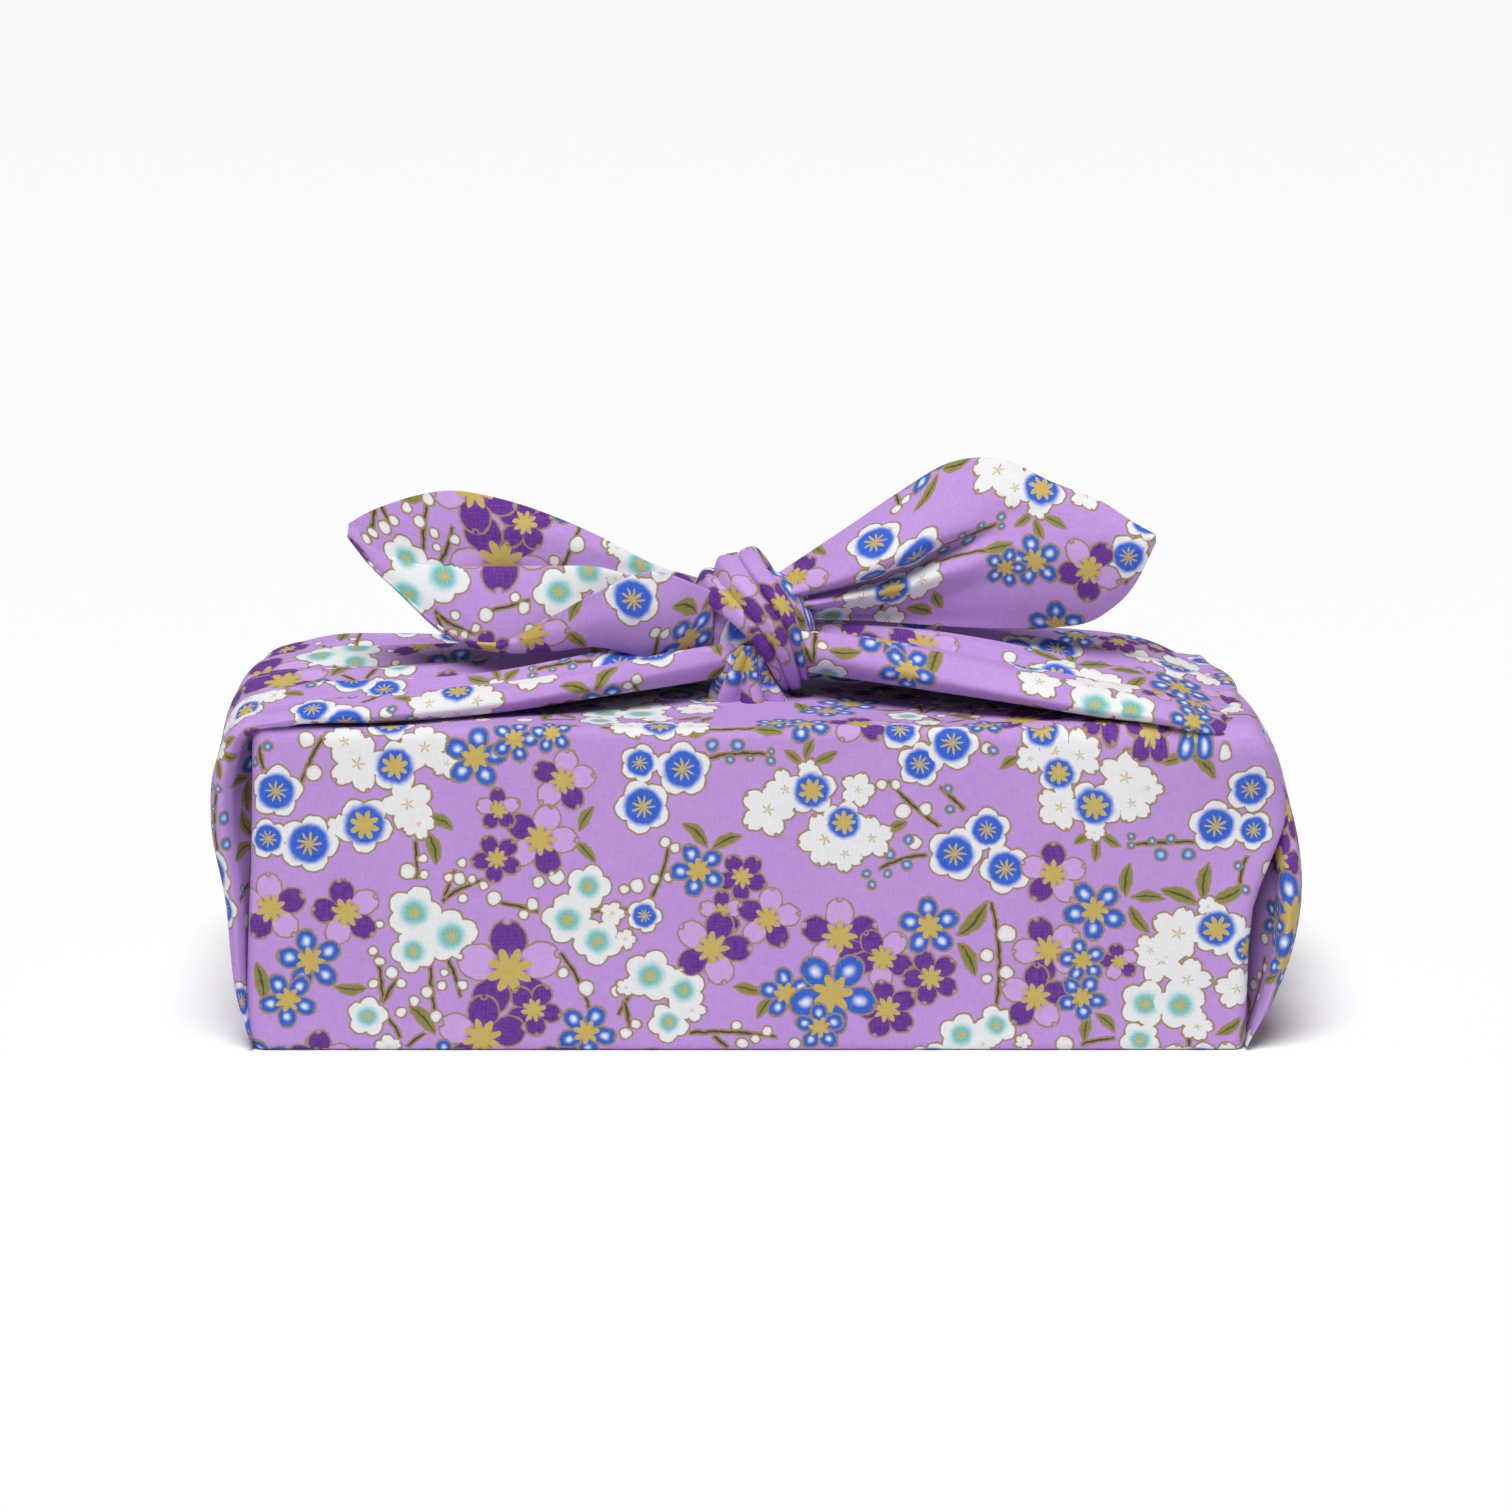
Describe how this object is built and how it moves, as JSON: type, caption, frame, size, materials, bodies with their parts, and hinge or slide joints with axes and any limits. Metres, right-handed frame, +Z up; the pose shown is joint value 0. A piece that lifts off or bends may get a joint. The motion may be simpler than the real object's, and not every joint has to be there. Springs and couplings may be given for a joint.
{
  "type": "furoshiki-wrapped gift bundle",
  "caption": "Low oblong gift bundle wrapped in one square of flower-printed cotton, its corners tied in a flat knot on top with two leaf-shaped tails.",
  "frame": {"origin": "middle of the flat bottom, on the surface that the bundle stands on", "axes": "+X along the bundle's length, +Y from its front face to its back, +Z up through the knot"},
  "size_m": [0.2907, 0.1004, 0.1502],
  "materials": {
    "printed_cotton": "matt plain-weave cotton, lavender with a flower print"
  },
  "bodies": {
    "root": {"furoshiki_cloth": "printed_cotton"}
  },
  "joints": []
}
